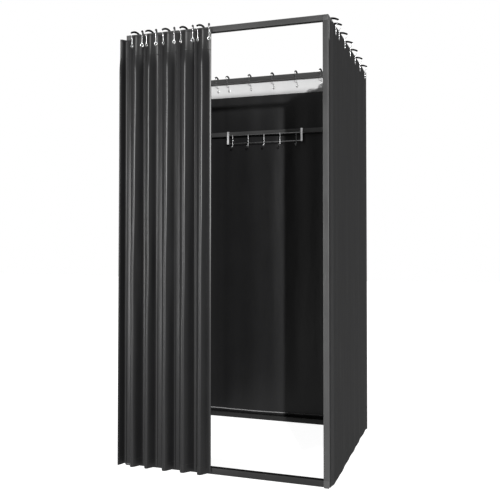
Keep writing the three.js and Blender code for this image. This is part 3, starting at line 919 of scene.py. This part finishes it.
FRONT_ROWS, OTHER_ROWS = 24, 16
FRONT_STEPS, OTHER_STEPS = 4, 2
SIDE_LOWER, SIDE_TOP_LOWER = 0.010, 0.008
front_made = make_curtain("front", front_controls, FRONT_STEPS, level_list(FRONT_ROWS), corner_droop)
side_hooks = {
    "right": [s * SPAN for s in SIDE_SHARES],
    "left": [-s * SPAN for s in reversed(SIDE_SHARES)],
    "rear": [-s * SPAN for s in reversed(REAR_SHARES)],
}
side_edges = {
    "right": (EDGE_GAP - HALF, HALF),
    "left": (-HALF, HALF - EDGE_GAP),
    "rear": (EDGE_GAP - HALF, HALF - EDGE_GAP),
}
side_levels = level_list(OTHER_ROWS, CURTAIN_LOW - SIDE_LOWER, CURTAIN_TOP - SIDE_TOP_LOWER)
spread_made = {}
for i, side in enumerate(("right", "left", "rear")):
    controls = spread_controls(side, side_hooks[side], *side_edges[side], 1.3 * i)
    levels = level_list(OTHER_ROWS) if side == "rear" else side_levels
    spread_made[side] = make_curtain(side, controls, OTHER_STEPS, levels)

for piece in front_made:
    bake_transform(piece)
folds = {
    "right": ((0, 1, 0), world_point("right", SPAN, -RAIL, 1)),
    "left": ((0, 1, 0), world_point("left", -SPAN, -RAIL, 1)),
    "rear": ((1, 0, 0), world_point("rear", -REAR_SHARES[0] * SPAN, -RAIL, 1)),
}
for side, (axis, anchor) in folds.items():
    for piece in spread_made[side]:
        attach(piece, "frame")
        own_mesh(piece)


# Hook rack, round the bar's middle

RACK_LENGTH = 0.443
RACK_X = 0.092
RACK_WIRE_RADIUS = 0.002
RACK_WIRE_DROPS = (0.0095, 0.056)
RACK_WIRE_END = 0.0058
STRAP = 0.002
STRAP_IN = HALF_TUBE + 0.0003
STRAP_OUT = STRAP_IN + STRAP
STRAP_DROP = 0.059
STRAP_LIP = 0.004
STRAP_BEND = 0.0016
BEND_STEPS = 5
STRAP_HALF = 0.0057
STRAP_ROUND = 0.0005
WIRE_Y = STRAP_OUT + 0.001
RACK_HOOK_Y = WIRE_Y + 0.003
RACK_HOOKS = 5
RACK_HOOK_STEP = 0.0955
RACK_HOOK_TOP = -0.0075
RACK_HOOK_MIDDLE = -0.040
RACK_HOOK_LOW = -0.072
RACK_HOOK_PULL = -0.088
RACK_HOOK_TIP = -0.076
RACK_HOOK_REACH = 0.022
BALL_RADIUS = 0.0035


def rounded_path(points, radius):
    """A path with its corners rounded."""
    out = [Vector(points[0])]
    for before, corner, after in zip(points, points[1:], points[2:]):
        before, corner, after = Vector(before), Vector(corner), Vector(after)
        a = corner + (before - corner).normalized() * radius
        b = corner + (after - corner).normalized() * radius
        for k in range(BEND_STEPS + 1):
            t = k / BEND_STEPS
            out.append((1 - t) ** 2 * a + 2 * t * (1 - t) * corner + t * t * b)
    out.append(Vector(points[-1]))
    return out


def build_straps(bm):
    """Flat straps with rounded bends and edges, hooked over the bar."""
    centre = (STRAP_IN + STRAP_OUT) / 2
    corners = [(centre, -STRAP_DROP), (centre, centre), (-centre, centre), (-centre, -STRAP_LIP)]
    path = rounded_path(corners, STRAP_BEND)
    half, edge, thick = STRAP_HALF, STRAP_ROUND, STRAP / 2
    section = [(-half, -thick + edge), (-half, thick - edge), (-half + edge, thick), (half - edge, thick),
               (half, thick - edge), (half, -thick + edge), (half - edge, -thick), (-half + edge, -thick)]
    for x in (-RACK_LENGTH / 2, RACK_LENGTH / 2):
        rings = []
        for i, point in enumerate(path):
            a, b = path[max(i - 1, 0)], path[min(i + 1, len(path) - 1)]
            tangent = (b - a).normalized()
            normal = Vector((-tangent.y, tangent.x))
            rings.append([bm.verts.new((x + s, point.x + normal.x * t, point.y + normal.y * t))
                          for s, t in section])
        for a, b in zip(rings, rings[1:]):
            for j in range(len(section)):
                k = (j + 1) % len(section)
                bm.faces.new((a[j], a[k], b[k], b[j]))
        bm.faces.new(list(reversed(rings[0])))
        bm.faces.new(rings[-1])


def build_rack_wires(bm):
    """The two cross wires, which end inside of the straps' edges."""
    reach = RACK_LENGTH / 2 - RACK_WIRE_END
    for drop in RACK_WIRE_DROPS:
        path = [(x, WIRE_Y, -drop) for x in (-reach, 0, reach)]
        add_tube(bm, path, RACK_WIRE_RADIUS, sides=14)


def build_rack_hooks(bm):
    """Wire hooks, each with a ball on its tip."""
    for i in range(RACK_HOOKS):
        x = (i - RACK_HOOKS // 2) * RACK_HOOK_STEP
        tip = RACK_HOOK_Y + RACK_HOOK_REACH
        path = [(x, RACK_HOOK_Y, z) for z in (RACK_HOOK_TOP, RACK_HOOK_MIDDLE, RACK_HOOK_LOW)]
        bend = bezier((RACK_HOOK_Y, RACK_HOOK_LOW), (RACK_HOOK_Y, RACK_HOOK_PULL), (tip, RACK_HOOK_PULL),
                      (tip, RACK_HOOK_TIP), steps=18)
        path += [(x, y, z) for y, z in bend]
        add_tube(bm, path, RACK_WIRE_RADIUS)
        ball = bmesh.ops.create_uvsphere(bm, u_segments=18, v_segments=12, radius=BALL_RADIUS)["verts"]
        for v in ball:
            v.co += Vector((x, tip, RACK_HOOK_TIP))


for word, build in (("straps", build_straps), ("wires", build_rack_wires), ("hooks", build_rack_hooks)):
    piece = new_piece("rack_" + word, mesh_from("rack_" + word, build))
    piece.location = world_point("rear", RACK_X, -RAIL, BAR_Z)
    piece.rotation_euler.z = math.pi
    smoothed(piece)
    # The straps take the bright chrome, and the wires and hooks the darkened copy, which is painted shade.
    dress(piece, "strap_chrome" if word == "straps" else "rack_chrome", "rack")
    if word == "straps":
        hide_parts("hook_rack")


# Floor, background and lights

FLOOR_HALF = 14
FLOOR_GLOW = 0.94
FLOOR_MIRRORED = 0.6
WORLD_MIRRORED = 0.65
AMBIENT = 0.21


def floor_material():
    """A pale floor that shows white to the camera and keeps the object's shadow."""
    n = new_material("pale_floor")
    cloud = n.noise(n.place(), scale=3.0, detail=5.0)
    n.set(Base_Color=n.mix(n.band(cloud, MOST), grey(0.80), grey(0.83)), Roughness=0.8)
    glow = n.add("ShaderNodeEmission", {"Color": grey(1.0), "Strength": FLOOR_GLOW})
    none = n.add("ShaderNodeEmission", {"Strength": 0.0})
    seen = n.seen(FLOOR_MIRRORED)
    switch = n.add("ShaderNodeMixShader", {0: seen, 1: none.outputs[0], 2: glow.outputs[0]})
    both = n.add("ShaderNodeAddShader", {0: n.shader.outputs[0], 1: switch.outputs[0]})
    n.put(n.tree.nodes["Material Output"].inputs["Surface"], both.outputs[0])
    return n.owner


def floor_grid(bm):
    bmesh.ops.create_grid(bm, x_segments=8, y_segments=8, size=FLOOR_HALF)


floor = new_piece("floor", mesh_from("floor", floor_grid))
floor.data.materials.append(floor_material())

world = bpy.data.worlds.new("studio")
bpy.context.scene.world = world
sky = Nodes(world)
background = sky.tree.nodes["Background"]
background.inputs["Color"].default_value = grey(1.0)
sky.put(background.inputs["Strength"], sky.band(sky.seen(WORLD_MIRRORED), (0.0, 1.0), AMBIENT, 1.0))


def add_light(name, kind, azimuth, elevation, distance, target, **settings):
    """Azimuth counts from straight in front of the doorway towards the right, both in degrees."""
    lamp = bpy.data.objects.new(name, bpy.data.lights.new(name, kind))
    for key, value in settings.items():
        setattr(lamp.data, key, value)
    a, e = math.radians(azimuth), math.radians(elevation)
    offset = Vector((math.sin(a) * math.cos(e), -math.cos(a) * math.cos(e), math.sin(e)))
    lamp.location = Vector(target) + distance * offset
    lamp.rotation_euler = (-offset).to_track_quat("-Z", "Y").to_euler()
    bpy.context.scene.collection.objects.link(lamp)


add_light("key", "SUN", azimuth=24.35, elevation=8.45, distance=4, target=(0, 0, 1),
          energy=3.7, angle=math.radians(1.2))
add_light("side_light", "AREA", azimuth=-32, elevation=0, distance=3.3, target=(-0.2, -0.45, 0.95),
          energy=85, shape="RECTANGLE", size=0.4, size_y=1.8)

bpy.context.scene.view_settings.view_transform = "Standard"
bpy.context.view_layer.update()
